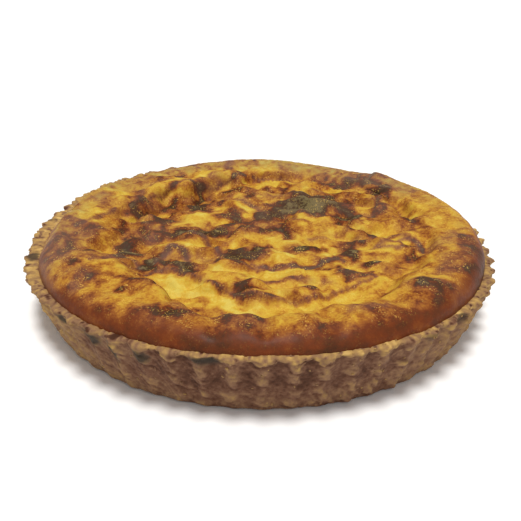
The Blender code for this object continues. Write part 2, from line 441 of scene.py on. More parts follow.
# Most flakes sit where the flutes are sharp and on the lip: of many spots, a few are kept by chance.
spot_turn = draw.uniform(0, 2 * np.pi, 6 * FLAKE_COUNT)
spot_row = draw.integers(*FLAKE_ROWS, 6 * FLAKE_COUNT)
chance = 0.25 + 0.75 * crispness(spot_turn) * np.where(spot_row > UPPER_ROW, 1.0, 0.5)
kept = np.flatnonzero(draw.random(len(chance)) < chance)[:FLAKE_COUNT]
spot_column = (spot_turn[kept] / (2 * np.pi) * CASE_COLUMNS).astype(int) % CASE_COLUMNS
case_grid = points[:row_count * CASE_COLUMNS].reshape(row_count, CASE_COLUMNS, 3)
middle = case_grid[spot_row[kept], spot_column]
upward = case_grid[spot_row[kept] + 1, spot_column] - case_grid[spot_row[kept] - 1, spot_column]
sideways = case_grid[spot_row[kept], (spot_column + 1) % CASE_COLUMNS] - middle
outward_way = np.cross(sideways, upward)
outward_way /= np.linalg.norm(outward_way, axis=1, keepdims=True)
spin = draw.uniform(0, np.pi, len(kept))[:, None]
sideways /= np.linalg.norm(sideways, axis=1, keepdims=True)
long_way = np.cos(spin) * sideways + np.sin(spin) * np.cross(outward_way, sideways)
ways = np.stack([long_way, np.cross(outward_way, long_way), outward_way], 1)
halves = np.stack([draw.uniform(*span, len(kept)) for span in FLAKE_HALF_SIZES], -1)
shape = chip_points * halves[:, None, :] * draw.uniform(0.75, 1.25, (len(kept), corners, 1))
flake_points = (middle[:, None, :] + np.einsum("ijk,ikl->ijl", shape, ways)).reshape(-1, 3)
flake_faces = chip_faces[None] + corners * np.arange(len(kept))[:, None, None]
flake_tone = np.repeat(draw.uniform(0.25, 0.62, len(kept)), corners)
flakes = piece_from_grid("pastry_flakes", flake_points, flake_faces.reshape(-1, 3).tolist(),
                         pastry, {"tone": flake_tone, "scorch": 0 * flake_tone})
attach(flakes, "root")


# ---- Rice filling ----------------------------------------------------------------------------
# The filling is rice set in egg custard. It rose over the rim in a ring while it baked and sank
# in the middle, so its skin is wrinkled, blistered and scorched. It fills the case to the floor.

CREST_REACH = 104.0           # along the skin from the middle to the ring's crest
SKIN_REACH = 121.0            # along the skin from the middle to the seam
SKIN_CELLS = 300
CURVE_POINTS = 48             # along each fold or streak
# The ring's measures at twelve even steps round from +X: radii, and heights over the mean rim.
CREST_HEIGHTS = (9.3, 8.6, 5.6, 7.8, 6.4, 8.6, 9.2, 8.6, 8.4, 8.7, 9.0, 9.6)
BRINK_RADII = (92, 94, 97, 90, 78, 79, 86, 88, 94, 98, 96, 90)
BRINK_HEIGHTS = (8.0, 8.0, 5.4, 6.8, 7.2, 8.4, 7.0, 7.5, 8.0, 8.3, 8.5, 8.5)
FOOT_RADII = (84, 86, 88, 80, 66, 67, 74, 74, 82, 87, 84, 80)
FOOT_HEIGHTS = (4.0, 4.0, 2.5, 1.5, -4.5, -4.5, 2.0, 3.0, 1.0, 0.5, 1.0, 3.0)
MIDDLE_HEIGHT = 3.2


def around(angle, values):
    """Values given at even steps round the tart from +X, joined into a smooth closed curve."""
    values = np.array(values, float)
    place = (angle / (2 * np.pi) * len(values)) % len(values)
    first = np.floor(place).astype(int) % len(values)
    share = smooth(place - np.floor(place), 0, 1)
    return values[first] * (1 - share) + values[(first + 1) % len(values)] * share


def skin_base(across, along):
    """The skin without its relief. Across and along are measured on the skin from its middle:
    inside the crest it is a height over the plan, and outside it a squared-off quarter turn."""
    reach, turn = np.hypot(across, along), np.arctan2(along, across)
    crest = RIM_HEIGHT + around(turn, CREST_HEIGHTS)
    brink_radius, foot_radius = around(turn, BRINK_RADII), around(turn, FOOT_RADII)
    brink, foot = around(turn, BRINK_HEIGHTS), around(turn, FOOT_HEIGHTS)
    wander = reach + 9 * uneven(across, along, 15, 35) + 4 * uneven(across, along, 7, 36)
    inner = foot + (brink - foot) * smooth(wander, foot_radius, brink_radius)
    inner += (crest - RIM_HEIGHT - brink) * smooth(reach, brink_radius, CREST_REACH + 1)
    inner += (MIDDLE_HEIGHT - foot) * smooth(foot_radius - reach, 0, 20)
    quarter = np.clip((reach - CREST_REACH) / (SKIN_REACH - CREST_REACH), 0, 1) * np.pi / 2
    # At the back left the ring slid off the case and slopes. It bulges everywhere else, and in
    # front it hangs over more of the rim.
    slid = slid_share(turn)
    drape = bell(turn + np.pi / 2, np.radians(48), 4)
    seam_radius = SEAM_RADIUS + 0.4 - SLID_BACK * slid + 2.1 * drape
    seam_height = rim_level(turn) - 0.6
    squareness = 0.9 + 0.9 * slid
    outer_radius = CREST_REACH + (seam_radius - CREST_REACH) * np.sin(quarter) ** squareness
    outer_height = seam_height + (crest - seam_height) * np.cos(quarter) ** squareness
    outside = reach > CREST_REACH
    radius = np.where(outside, outer_radius, reach)
    height = np.where(outside, outer_height, RIM_HEIGHT + inner)
    return np.stack([radius * np.cos(turn), radius * np.sin(turn), height], -1)


def facing(points):
    """Unit normals of a grid of points, from the cross product of its two slopes."""
    normal = np.cross(np.gradient(points, axis=0), np.gradient(points, axis=1))
    return normal / np.linalg.norm(normal, axis=-1, keepdims=True)


steps = np.linspace(-1, 1, SKIN_CELLS + 1)
left_right, near_far = np.meshgrid(steps, steps, indexing="ij")
# A square grid is pulled out to the round skin: each way shrinks as the other nears its edge.
skin_x = left_right * np.sqrt(1 - near_far ** 2 / 2) * SKIN_REACH
skin_y = near_far * np.sqrt(1 - left_right ** 2 / 2) * SKIN_REACH
skin = skin_base(skin_x, skin_y)
skin_normal = facing(skin)


def oval_distance(off_x, off_y, length, width, turn):
    """Squared distance from an oval's middle, with each part in its half lengths or half widths."""
    cosine, sine = np.cos(turn), np.sin(turn)
    return (((off_x * cosine + off_y * sine) / length) ** 2
            + ((off_y * cosine - off_x * sine) / width) ** 2)


def oval(across, along, place):
    """1 in the middle of a soft oval and near 0 past its ends: e to the minus squared distance.
    Place: its middle, half length and half width, and turn in degrees."""
    middle_x, middle_y, length, width, turn = place
    return np.exp(-oval_distance(across - middle_x, along - middle_y, length, width, np.radians(turn)))


def through(stops, count):
    """Points along a smooth curve through the given stops: each stretch is a cubic whose ends
    slope along the line between the neighbours on both sides."""
    stops = np.array(stops, float)
    stops = np.vstack([2 * stops[0] - stops[1], stops, 2 * stops[-1] - stops[-2]])
    place = np.linspace(0, len(stops) - 3 - 1e-6, count)
    first = np.floor(place).astype(int)
    t = (place - first)[:, None]
    before, here, there, past = stops[first], stops[first + 1], stops[first + 2], stops[first + 3]
    return here + 0.5 * t * (there - before + t * (
        2 * before - 5 * here + 4 * there - past + t * (3 * (here - there) + past - before)))


def crease_distance(across, along, stops):
    """Signed distance to a curve through the stops, above 0 on its left, and the share along it."""
    line = through(stops, CURVE_POINTS)
    way = np.gradient(line, axis=0)
    way /= np.linalg.norm(way, axis=1, keepdims=True)
    off_x, off_y = across[..., None] - line[:, 0], along[..., None] - line[:, 1]
    nearest = np.argmin(off_x ** 2 + off_y ** 2, axis=-1)
    off_x = np.take_along_axis(off_x, nearest[..., None], -1)[..., 0]
    off_y = np.take_along_axis(off_y, nearest[..., None], -1)[..., 0]
    side = np.sign(way[nearest, 0] * off_y - way[nearest, 1] * off_x)
    return side * np.hypot(off_x, off_y), nearest / (CURVE_POINTS - 1)


# Broad swellings (above 0) and hollows of the skin: middle, half length and width, turn, height.
SWELLINGS = (
    (-42, -97, 19, 8, -24, 1.4), (-7, -103, 8, 7, 0, 1.2), (14, -102, 10, 7, 6, 1.3),
    (43, -95, 16, 8, 24, 1.4), (70, -69, 10, 13, 42, 2.8), (-18, -104, 3, 8, 8, -1),
    (2, -105, 2.5, 8, 0, -1), (28, -100, 3.5, 8, 15, -1.3), (58, -86, 4, 8, 30, -1.2),
    (92, -40, 14, 8, 70, 1), (96, 20, 16, 7, 100, 0.8), (73, 74, 9, 10, 45, 1.8),
    (-46, -79, 6, 4, -35, 1.5), (-57, -70, 5, 4, -45, 1.1), (-90, -8, 8, 12, 10, 1.2),
    (-88, -40, 12, 7, -60, 1.2), (-76, -62, 14, 8, -40, 1), (-25, 98, 16, 7, 14, 0.9),
    (30, 36, 24, 15, -15, 1.6), (45, 14, 9, 7, 30, -2.6), (-36, 14, 12, 12, 0, 1.4),
    (-12, 30, 9, 12, 10, 1.2), (-58, 12, 10, 7, -30, 1.2), (-52, -4, 13, 8, 0, 0.8),
    (30, 8, 15, 8, 8, 1.6), (56, 2, 16, 7, 12, 1.4), (-36, -22, 8, 12, 20, 1.4), (0, -12, 20, 6, 0, 1),
    (8, -36, 20, 5, 6, 1.5), (24, -54, 22, 6, 8, 0.8), (-5, -64, 10, 6, -25, 0.8),
    (60, -24, 16, 6, 28, 1.2), (-54, -46, 7, 8, 0, -1.4), (68, 30, 6, 18, -12, 1.6),
)

# Folds: the curve they follow, and then how high the skin stands on the curve's left, how far
# back that side falls off, and the depth and half width of the pinch along the curve itself.
FOLDS = (
    (((-8, 83), (8, 83), (22, 80), (34, 73.5), (46, 64), (57, 54), (67, 43), (75, 31), (80, 15), (82, 2)),
     -2.8, 9.0, 2.6, 2.6),
    (((-74, 22), (-62, 44), (-50, 56), (-38, 64), (-28, 71), (-18, 79), (-10, 83)), 1.0, 5.0, 0.9, 1.3),
    (((-58, -56), (-44, -50), (-32, -57), (-20, -66), (-8, -75), (6, -76), (22, -73), (40, -63), (56, -53)),
     1.6, 14.0, 0.6, 1.6),
    (((70, 86), (68, 74), (66, 66), (72, 56), (77, 50)), 1.2, 5.0, 2.6, 2.2),
    (((70, 46), (66, 32), (60, 16)), 0.7, 6.0, 0.8, 1.8),
    (((56, -14), (66, -11), (74, -13), (80, -20), (79, -34)), 0.9, 5.0, 0.7, 1.6),
    (((54, -26), (64, -21), (73, -21)), 0.7, 4.0, 0.6, 1.4),
    (((-6, -44), (10, -46), (22, -44), (31, -39), (37, -36), (40, -40)), 0.8, 6.0, 0.7, 1.3),
    (((-50, -44), (-47, -34), (-42, -29), (-37, -34), (-34, -42)), 0.8, 5.0, 0.8, 1.5),
    (((-40, -12), (-30, -18), (-22, -28), (-18, -36)), 0.7, 5.0, 0.6, 1.4),
    (((-80, -52), (-70, -44), (-62, -40), (-57, -48)), 0.8, 5.0, 0.7, 1.5),
    (((-96, -14), (-88, -4), (-84, 8), (-80, 18)), 0.7, 5.0, 0.8, 1.6),
)

relief = np.zeros_like(skin_x)
for *place, rise in SWELLINGS:
    relief += 1.3 * rise * oval(skin_x, skin_y, place)
for stops, lift, fall_off, depth, half_width in FOLDS:
    off, along_share = crease_distance(skin_x, skin_y, stops)
    fade = smooth(along_share, 0, 0.12) * smooth(1 - along_share, 0, 0.12)
    near = np.where((along_share > 0) & (along_share < 1), 1.0, bell(off, 3))
    step = smooth(off * np.sign(lift), -half_width, half_width) * bell(off, fall_off, 1)
    relief += fade * near * (abs(lift) * step - depth * bell(off, half_width))

# How far each place has baked, from 0, still pale, through 0.2 yellow, 0.4 amber, 0.6 red-brown and
# 0.8 dark brown to 1, a scorch whose olive-grey is painted sheen. Each patch: middle, half length and
# width, turn, bake, and how much of a dull mauve film with painted sheen lies on it, if any. Later
# patches lie over earlier ones.
PATCHES = (
    # Pale yellow places of the sunken middle.
    (-2, 68, 8, 5, 0, 0.18), (-5, 57, 10, 3, 0, 0.26), (-8, 24, 8, 10, 0, 0.16), (-27, 32, 4, 5, 0, 0.2),
    (-36, 10, 13, 10, 0, 0.12), (5, 78, 9, 3, 0, 0.22), (16, 76, 9, 3, -5, 0.26),
    (24, 67, 6, 6, 0, 0.36, 0.2), (44, 60, 7, 4, -30, 0.18), (3, 46, 7, 5, 0, 0.3),
    (20, 55, 4, 3, 0, 0.24), (64, 38, 6, 4, 0, 0.3, 0.1), (57, 26, 7, 4, 0, 0.32),
    (76, 21, 4, 6, 0, 0.36), (27, 3, 10, 6, 0, 0.28), (65, 1, 12, 5, 0, 0.28), (55, 12, 5, 5, 0, 0.28),
    (-4, -12, 10, 5, 0, 0.1), (15, -15, 15, 6, 0, 0.12), (-59, -22, 4, 3, 0, 0.2),
    (-45, -24, 8, 4, 0, 0.16), (-32, -28, 8, 8, 0, 0.12), (34, -26, 4, 11, 0, 0.14),
    (60, -30, 6, 5, 20, 0.26), (62, -16, 8, 3, 0, 0.24), (10, -35, 14, 5, 0, 0.18),
    (-22, -54, 9, 4, 0, 0.16), (8, -53, 16, 5, 0, 0.2), (33, -53, 6, 5, 0, 0.24),
    (44, -44, 4, 6, 0, 0.22), (-52, 1, 4, 3, 0, 0.3), (42, -65, 12, 4, 25, 0.28),
    (-44, -53, 7, 3, -20, 0.22),
    # Browned and scorched places of the middle, from its far edge towards its near edge.
    (-72, 26, 12, 3.6, 55, 0.78, 0.2), (-62, 41, 3, 7, -30, 0.34), (-54, 45, 7.5, 6, 20, 0.78),
    (-47, 43, 4, 3, 30, 0.56), (-38, 56, 5, 8, 15, 0.82), (-33, 66, 8, 1.6, 48, 0.74, 0.3),
    (-27, 64, 4, 7, 10, 0.46), (-19, 72, 5, 8, 0, 0.76), (-15, 80, 7, 3, 40, 0.66, 0.2),
    (-12, 72, 6, 3, 0, 0.5), (-5, 84, 4, 4, 0, 0.66, 0.1), (-6, 48, 3.6, 8, 0, 0.8, 0.1),
    (-19, 46, 9, 4, 5, 0.42, 0.2), (-36, 31, 6, 7, 0, 0.86), (-30, 41, 5, 4, 0, 0.56),
    (-22, 38, 3, 4, 0, 0.6, 0.3), (-18, 27, 3, 11, 5, 0.58), (-40, 22, 8, 2.4, 0, 0.44, 0.3),
    (-49, 15, 3, 9, 5, 0.66), (-54, 8, 8, 4, 10, 0.76, 0.2), (-66, 9, 8, 3, 10, 0.5, 0.4),
    (-17, 14, 7, 5, 10, 0.82, 0.2), (-16, 6, 10, 4.5, 8, 0.9), (-2, 9, 7, 6, 0, 0.88),
    (1, 17, 8, 4, -8, 0.8, 0.4), (-25, 2, 4, 6, 0, 0.48), (-21, -6, 5, 4.5, 20, 0.76),
    (15, 68, 5, 6, 0, 0.58), (10, 61, 9, 3, -10, 0.66, 0.1), (37, 65, 4, 5, 0, 0.58),
    (53, 54, 6, 3, -20, 0.46), (35, 53, 5, 4, -20, 0.54, 0.5), (12, 51, 12, 4, -18, 0.46, 0.5),
    (24, 43, 13, 3.4, -18, 0.84, 0.5), (43, 48, 8, 3, 0, 0.66), (57, 46, 8, 2.6, -25, 0.62),
    (43, 40, 7, 3, -5, 0.7), (57, 39, 7, 3, -20, 0.62), (3, 35, 5, 4, -20, 0.56, 0.6),
    (2, 29, 3, 4, 0, 0.34), (-1, 40, 4, 4, 0, 0.38), (8, 26, 4.5, 8, 0, 0.78), (20, 29, 10, 7, -15, 1.02),
    (34, 30, 17, 9, -5, 1.02), (48, 28, 9, 7, -10, 0.94, 0.3), (40, 22, 3.6, 4, 0, 0.34, 0.1),
    (49, 20, 8, 4.5, -5, 0.84), (46, 7, 6, 3.4, -25, 0.78), (25, 16, 8, 5, -15, 0.82, 0.6),
    (36, 13, 4, 3, 0, 0.6, 0.3), (67, 27, 6, 7, 0, 0.68, 0.6), (66, 14, 6, 4, 0, 0.54),
    (71, 6, 9, 3, 5, 0.62), (81, 4, 4, 7, 10, 0.76, 0.2), (32, -5, 12, 2.4, -8, 0.4, 0.3),
    (26, -3, 5, 3, 20, 0.44), (2, -6, 10, 4, 0, 0.84), (13, -4, 3, 7, 0, 0.8), (-75, -3, 4, 9, 0, 0.6),
    (-57, -4, 8, 4, 15, 0.74, 0.4), (-48, -10, 7, 5, 0, 0.68, 0.1), (-36, -8, 10, 6, 0, 0.84),
    (-26, -7, 5, 7, 20, 0.86), (-22, -15, 5, 3, 0, 0.62, 0.5), (-60, -13, 9, 5, 10, 0.62, 0.6),
    (-68, -15, 3.5, 8, 0, 0.76, 0.1), (-65, -30, 4.6, 13, 0, 0.88), (-56, -31, 4, 6, 0, 0.46),
    (-53, -42, 5.5, 8, -10, 0.92), (-44, -43, 5, 6, 0, 0.52, 0.5), (-42, -35, 3, 3, 0, 0.34, 0.2),
    (-52, -56, 7, 4.5, 0, 0.64), (-36, -45, 8, 5.5, -20, 0.9), (-33, -50, 5, 3, -35, 0.86),
    (-24, -35, 7, 3, -8, 0.52, 0.6), (-24, -30, 6, 3, 0, 0.52), (-22, -21, 5, 4, 30, 0.46),
    (-20, -44, 8, 2.5, 0, 0.4, 0.5), (-10, -37, 9, 7, 15, 0.92), (0, -29, 4.5, 6, -15, 0.9),
    (-9, -17, 2.4, 5, 20, 0.54), (13, -29, 5, 3, 0, 0.54, 0.4), (22, -25, 6, 4, 0, 0.88),
    (29, -24, 3, 4, 20, 0.64), (39, -18, 5, 2.6, 0, 0.66), (43, -28, 4, 8, 5, 0.86, 0.1),
    (53, -18, 7, 2.4, -5, 0.72, 0.4), (51, -9, 6, 2.6, 0, 0.82), (52, -40, 3.4, 2.4, -10, 0.86),
    (50, -33, 5, 2.6, 20, 0.54), (65, -40, 5, 4.5, 20, 0.66, 0.1), (34, -39, 5, 3.4, 10, 0.78, 0.3),
    (3, -43, 10, 2.6, 0, 0.34), (28, -46, 5, 6, 0, 0.54), (37, -47, 2, 8, 0, 0.66),
    (44, -52, 4.5, 3.6, 20, 0.88, 0.2), (50, -50, 8, 2.4, 25, 0.8, 0.4), (48, -60, 6, 2, 20, 0.3),
    (16, -59, 6, 2.2, -10, 0.62, 0.6), (23, -67, 4, 2.6, -10, 0.72, 0.3), (31, -61, 4, 2, 0, 0.56, 0.6),
    (5, -61, 6, 1.4, -5, 0.56, 0.5), (-13, -62, 8, 2, -20, 0.62, 0.3), (-6, -70, 5.5, 4.5, -10, 0.92),
    (-4, -73, 5, 2.2, -8, 0.86), (10, -69, 9, 1.6, -5, 0.44, 0.4), (18, -71, 4, 2, 0, 0.56),
    (-9, -58, 8, 2, 0, 0.42, 0.2),
    # The pale crescent along the near edge of the middle, where the skin slid back.
    (-38, -62, 14, 5, -30, 0.04), (-26, -70, 12, 5, -25, 0.02), (-10, -79, 13, 3.5, -6, 0.04),
    (12, -80, 14, 3, 5, 0.08), (32, -75, 10, 3.5, 20, 0.2), (48, -66, 8, 3, 38, 0.34),
    (-25, -76, 4, 1.8, -20, 0.46), (-44, -71, 5, 3, -30, 0.16),
    # The ring, from the left round the back to the right and then the front.
    (-60, -86, 17, 7, -38, 0.48, 0.1), (-30, -97, 14, 5, -18, 0.46, 0.1), (20, -98, 16, 4, 10, 0.46, 0.1),
    (-2, -98, 12, 5, 0, 0.44), (-93, 2, 7, 7, 0, 0.2), (-104, 6, 4, 10, 0, 0.36, 0.2),
    (-87, 22, 6, 5, 70, 0.5, 0.4), (-92, 29, 7, 5, 60, 0.42, 0.7), (-94, 49, 8, 5, 50, 0.4, 0.7),
    (-83, 46, 5, 6, 60, 0.22), (-75, 53, 2.5, 9, 0, 0.62), (-77, 36, 3, 7, 10, 0.5),
    (-72, 41, 3, 5, -20, 0.55, 0.7), (-63, 63, 2.5, 8, 10, 0.58), (-56, 81, 2.5, 6, 10, 0.6),
    (-51, 79, 2, 6, -10, 0.6), (-43, 90, 2, 8, 15, 0.6), (-40, 84, 5, 7, 0, 0.24),
    (-29, 76, 3, 6, -40, 0.5, 0.7), (-22, 92, 4, 8, 0, 0.55, 0.7), (-11, 93, 5, 7, 0, 0.26),
    (-7, 88, 2, 4, 0, 0.5), (3, 93, 7, 7, 0, 0.24), (11, 96, 3, 8, 0, 0.5, 0.6),
    (16, 90, 3, 4, 0, 0.52, 0.4), (22, 97, 6, 6, 0, 0.4, 0.6), (32, 93, 5, 7, 0, 0.26),
    (42, 92, 8, 6, -10, 0.3, 0.4), (47, 84, 7, 4, -20, 0.42), (45, 75, 10, 5, -35, 0.76, 0.3),
    (54, 77, 5, 5, 0, 0.66, 0.5), (58, 72, 7, 5, -20, 0.7, 0.4), (65, 70, 4, 7, 0, 0.8),
    (67, 78, 4, 5, 0, 0.76, 0.2), (68, 62, 3, 8, 15, 0.8), (73, 52, 5, 8, 20, 0.8),
    (60, 58, 5, 6, -40, 0.32, 0.2), (79, 63, 5, 9, 40, 0.36, 0.6), (85, 49, 6, 6, 0, 0.4, 0.6),
    (82, 40, 5, 5, 0, 0.28), (85, 30, 3, 4, 0, 0.56), (87, 21, 6, 7, 0, 0.28),
    (98, 28, 6, 10, 15, 0.32, 0.2), (97, 8, 7, 10, 0, 0.36, 0.1), (95, -15, 5, 5, 0, 0.34),
    (84, -3, 3, 7, 0, 0.5), (81, 6, 1.5, 6, 0, 0.66), (77, -10, 4, 4, 0, 0.42),
    (79, -24, 3, 5, 0, 0.62, 0.2), (87, -31, 3, 6, 0, 0.58, 0.3), (92, -27, 5, 7, 0, 0.42, 0.5),
    (99, -20, 4, 9, -10, 0.5, 0.6), (87, -47, 5, 6, -20, 0.38, 0.4), (83, -57, 6, 4, 40, 0.6, 0.5),
    (103, -28, 4, 12, -15, 0.74, 0.4), (99, -49, 18, 6, 62, 0.8, 0.3), (88, -68, 7, 4, 45, 0.52),
    (65, -81, 9, 5, 40, 0.48), (72, -75, 6, 2.6, -12, 0.9, 0.2), (59, -80, 2, 5, 20, 0.64),
    (78, -81, 10, 5, 45, 0.82, 0.1), (51, -87, 6, 3.5, 25, 0.2), (43, -85, 6, 3, 20, 0.16),
    (48, -93, 8, 3.5, 25, 0.64, 0.5), (37, -94, 5, 3, 15, 0.5, 0.5), (22, -95, 7, 3.5, 10, 0.32),
    (29, -98, 4, 3, 10, 0.38), (26, -104, 9, 1.8, 12, 0.74, 0.3), (12, -102, 5, 3, 5, 0.38),
    (3, -102, 3, 4, 0, 0.38), (-8, -102, 8, 4.5, 0, 0.62, 0.7), (-19, -100, 4, 5, 0, 0.38),
    (-30, -102, 5, 4, -20, 0.52), (-37, -97, 7, 3.8, -15, 0.86), (-46, -87, 9, 5, -30, 0.38),
    (-56, -88, 6, 5, -40, 0.34), (-61, -93, 4, 3, -35, 0.55), (-59, -77, 3, 2.5, 0, 0.68),
    (-45, -78, 7, 4, -20, 0.38), (-75, -83, 7, 5, -45, 0.5), (-78, -66, 7, 3, -40, 0.74, 0.5),
    (-78, -74, 6, 3, -30, 0.56, 0.7), (-88, -69, 4, 4, 0, 0.48), (-86, -54, 5, 4, -60, 0.74, 0.1),
    (-97, -57, 4, 8, 30, 0.42, 0.1), (-91, -47, 4, 4, 0, 0.5, 0.6), (-97, -35, 7, 13, 12, 0.5, 0.8),
    (-101, -44, 4, 10, 22, 0.64, 0.5), (-84, -39, 3, 3.5, 0, 0.78), (-88, -30, 5, 5, 0, 0.6, 0.2),
    (-97, -28, 4, 8, 10, 0.62, 0.6), (-85, -21, 2.5, 7, 0, 0.72), (-91, -20, 4, 4, 0, 0.46),
    (-99, -16, 3, 4, 0, 0.3), (-87, -12, 3, 6, 10, 0.72), (-93, -9, 8, 3, -15, 0.6, 0.8),
    (-90, -18, 6, 5, 0, 0.48, 0.7), (-76, 0, 3.5, 10, 0, 0.6), (-77, -16, 4, 6, 0, 0.5),
    (-67, -17, 2, 10, 0, 0.6), (-65, -25, 3.4, 13, 0, 0.84, 0.1),
    # Paler touches over the rest, from the near edge towards the far edge.
    (18, -103, 4, 3, 5, 0.36), (40, -100, 4, 3, 0, 0.44), (26, -95, 6, 3, 10, 0.18),
    (65, -84, 5, 5, 0, 0.36), (51, -78, 6, 3, 30, 0.18), (61, -75, 5, 4, 0, 0.3),
    (-69, -78, 4, 4, 0, 0.32), (3, -75, 6, 1.8, 0, 0.34, 0.1), (14, -73, 6, 2.2, 0, 0.24, 0.1),
    (1, -69, 5, 3, 0, 0.34), (-17, -69, 6, 3.4, -20, 0.18), (31, -67, 8, 3, 18, 0.24),
    (88, -66, 6, 5, 45, 0.46, 0.1), (-16, -64, 4, 3, -25, 0.34), (-83, -61, 4, 4, 0, 0.44, 0.3),
    (39, -60, 7, 4, 20, 0.22), (-30, -60, 5, 3, -35, 0.16), (91, -48, 4, 5, -30, 0.54, 0.4),
    (55, -47, 4, 3, 0, 0.34), (-62, -45, 4, 3, 0, 0.42, 0.1), (45, -44, 4, 2.6, 0, 0.34),
    (35, -42, 4, 2.4, 0, 0.38, 0.1), (-60, -39, 4, 4, 0, 0.4, 0.1), (80, -38, 4, 5, 0, 0.32),
    (41, -37, 4, 3, 0, 0.44, 0.1), (69, -34, 4, 3, 0, 0.34), (-89, -30, 4, 4, 0, 0.42, 0.4),
    (-21, -28, 5, 3, 0, 0.4, 0.1), (-59, -22, 3, 4, 0, 0.4, 0.1), (58, -20, 4, 2.6, 0, 0.32, 0.1),
    (2, -18, 4, 4, 0, 0.24), (-19, -12, 3, 4, 0, 0.36), (46, -11, 4, 2, 0, 0.36),
    (75, -11, 5, 3.4, 0, 0.22), (-88, -2, 5, 5, 0, 0.22), (-1, 5, 5, 3, 0, 0.54, 0.5),
    (76, 8, 3, 3, 0, 0.36), (-24, 10, 4, 5, 0, 0.38), (-79, 18, 4, 6, 0, 0.38, 0.2),
    (-8, 18, 3, 4, 0, 0.3), (58, 30, 5, 3, 0, 0.34, 0.1), (66, 35, 4, 4, 0, 0.42, 0.3),
    (-62, 47, 5, 6, 0, 0.24, 0.1), (-47, 53, 4, 3, 20, 0.3), (-41, 64, 3, 4, 0, 0.56, 0.2),
    (-24, 77, 4, 6, 0, 0.3, 0.2),
    # Browner touches, the same way.
    (-42, -102, 7, 3, -22, 0.66, 0.3), (-9, -99, 9, 7, 0, 0.68, 0.3), (53, -97, 7, 3.5, 30, 0.66, 0.1),
    (9, -95, 7, 6, 0, 0.42), (-57, -95, 8, 5, -35, 0.58, 0.1), (60, -88, 6, 4, 35, 0.58, 0.1),
    (-71, -86, 7, 4, -45, 0.58, 0.2), (10, -83, 8, 3, 5, 0.32), (-22, -82, 7, 2.4, -12, 0.5, 0.1),
    (-3, -79, 7, 1.8, -4, 0.34, 0.1), (-45, -77, 5, 3, -30, 0.42), (-51, -71, 7, 6, -30, 0.7, 0.1),
    (52, -60, 7, 3.5, 25, 0.34), (-18, -59, 7, 4, -20, 0.4), (-103, -51, 4, 8, 25, 0.7, 0.6),
    (-82, -47, 4, 5, 0, 0.5, 0.4), (-26, -46, 5, 3, 0, 0.5, 0.2), (66, -44, 6, 4, 20, 0.56, 0.1),
    (-72, -44, 4, 5, 0, 0.48, 0.3), (73, -39, 3, 4, 0, 0.5, 0.1), (-96, -37, 6, 9, 15, 0.7, 0.6),
    (57, -34, 6, 4, 0, 0.44, 0.1), (25, -33, 5, 3, 0, 0.44, 0.2), (-39, -19, 6, 5, 0, 0.62, 0.2),
    (-8, -17, 4, 4, 0, 0.5), (-103, -12, 4, 8, 5, 0.44, 0.4), (-5, -8, 6, 2.4, 0, 0.66, 0.4),
    (27, -15, 5, 3, 0, 0.4, 0.1), (25, -8, 8, 4, 0, 0.38, 0.1), (104, -4, 3, 7, 0, 0.4, 0.3),
    (92, 0, 4, 5, 0, 0.38, 0.1), (34, 2, 7, 5, 0, 0.42, 0.1), (-82, 2, 4, 6, 0, 0.44),
    (69, 3, 6, 4, 0, 0.44), (43, 6, 5, 3, -25, 0.68), (22, 10, 5, 4, 0, 0.6, 0.5),
    (-19, 15, 5, 3, 20, 0.68, 0.4), (-48, 19, 5, 6, 0, 0.66), (-52, 36, 5, 4, 0, 0.66, 0.1),
    (-1, 41, 4, 4, 0, 0.56, 0.1), (82, 42, 4, 4, 0, 0.4, 0.4), (-78, 47, 6, 6, 0, 0.5, 0.4),
    (-16, 61, 8, 8, 0, 0.74), (-36, 63, 3, 5, 15, 0.88), (66, 75, 7, 7, 0, 0.82, 0.3),
    (-46, 85, 5, 5, 0, 0.44, 0.3), (-70, 54, 4, 6, 0, 0.46, 0.4), (67, -80, 6, 4, 20, 0.48),
    (71, -75.5, 6, 2.8, -18, 0.92, 0.1), (77, -80, 5, 3.6, -40, 0.88), (80, -83, 5, 4, 45, 0.8),
    (84, 6, 2.5, 7, 15, 0.72, 0.2), (76.5, -33, 2, 6, 5, 0.74, 0.1), (-92, -12, 6, 4, -20, 0.66, 0.5),
    (-100, -27, 8, 5, 65, 0.7, 0.5), (-52, -69, 8, 4, -20, 0.72, 0.1), (-67, 26, 5, 6, 20, 0.84, 0.1),
)
